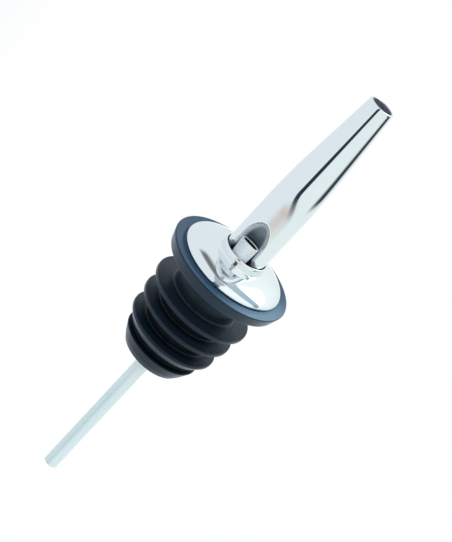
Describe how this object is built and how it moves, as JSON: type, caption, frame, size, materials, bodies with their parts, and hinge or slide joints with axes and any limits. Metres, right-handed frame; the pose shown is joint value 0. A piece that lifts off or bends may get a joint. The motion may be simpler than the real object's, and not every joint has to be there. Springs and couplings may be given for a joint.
{
  "type": "liquor pour spout",
  "caption": "Free-flow bottle pourer: tapered chromed tube with a vent scoop, domed collar, finned black stopper and a long air tube.",
  "frame": {"origin": "on the pouring tube's axis, in the plane of the stopper flange's underside, which seats on the bottle's lip", "axes": "+Z along the pouring tube towards the mouth; the scoop with the air tube's upper end faces -Y"},
  "size_m": [0.0298, 0.0298, 0.1171],
  "materials": {
    "spout_chrome": "polished chrome plate, faint tube-drawing marks",
    "collar_chrome": "polished chrome plate",
    "stopper_rubber": "moulded, satin black",
    "air_tube_plastic": "milky translucent plastic"
  },
  "bodies": {
    "root": {"pour_spout": "spout_chrome", "collar_cap": "collar_chrome", "stopper": "stopper_rubber", "breather_tube": "air_tube_plastic"}
  },
  "joints": []
}
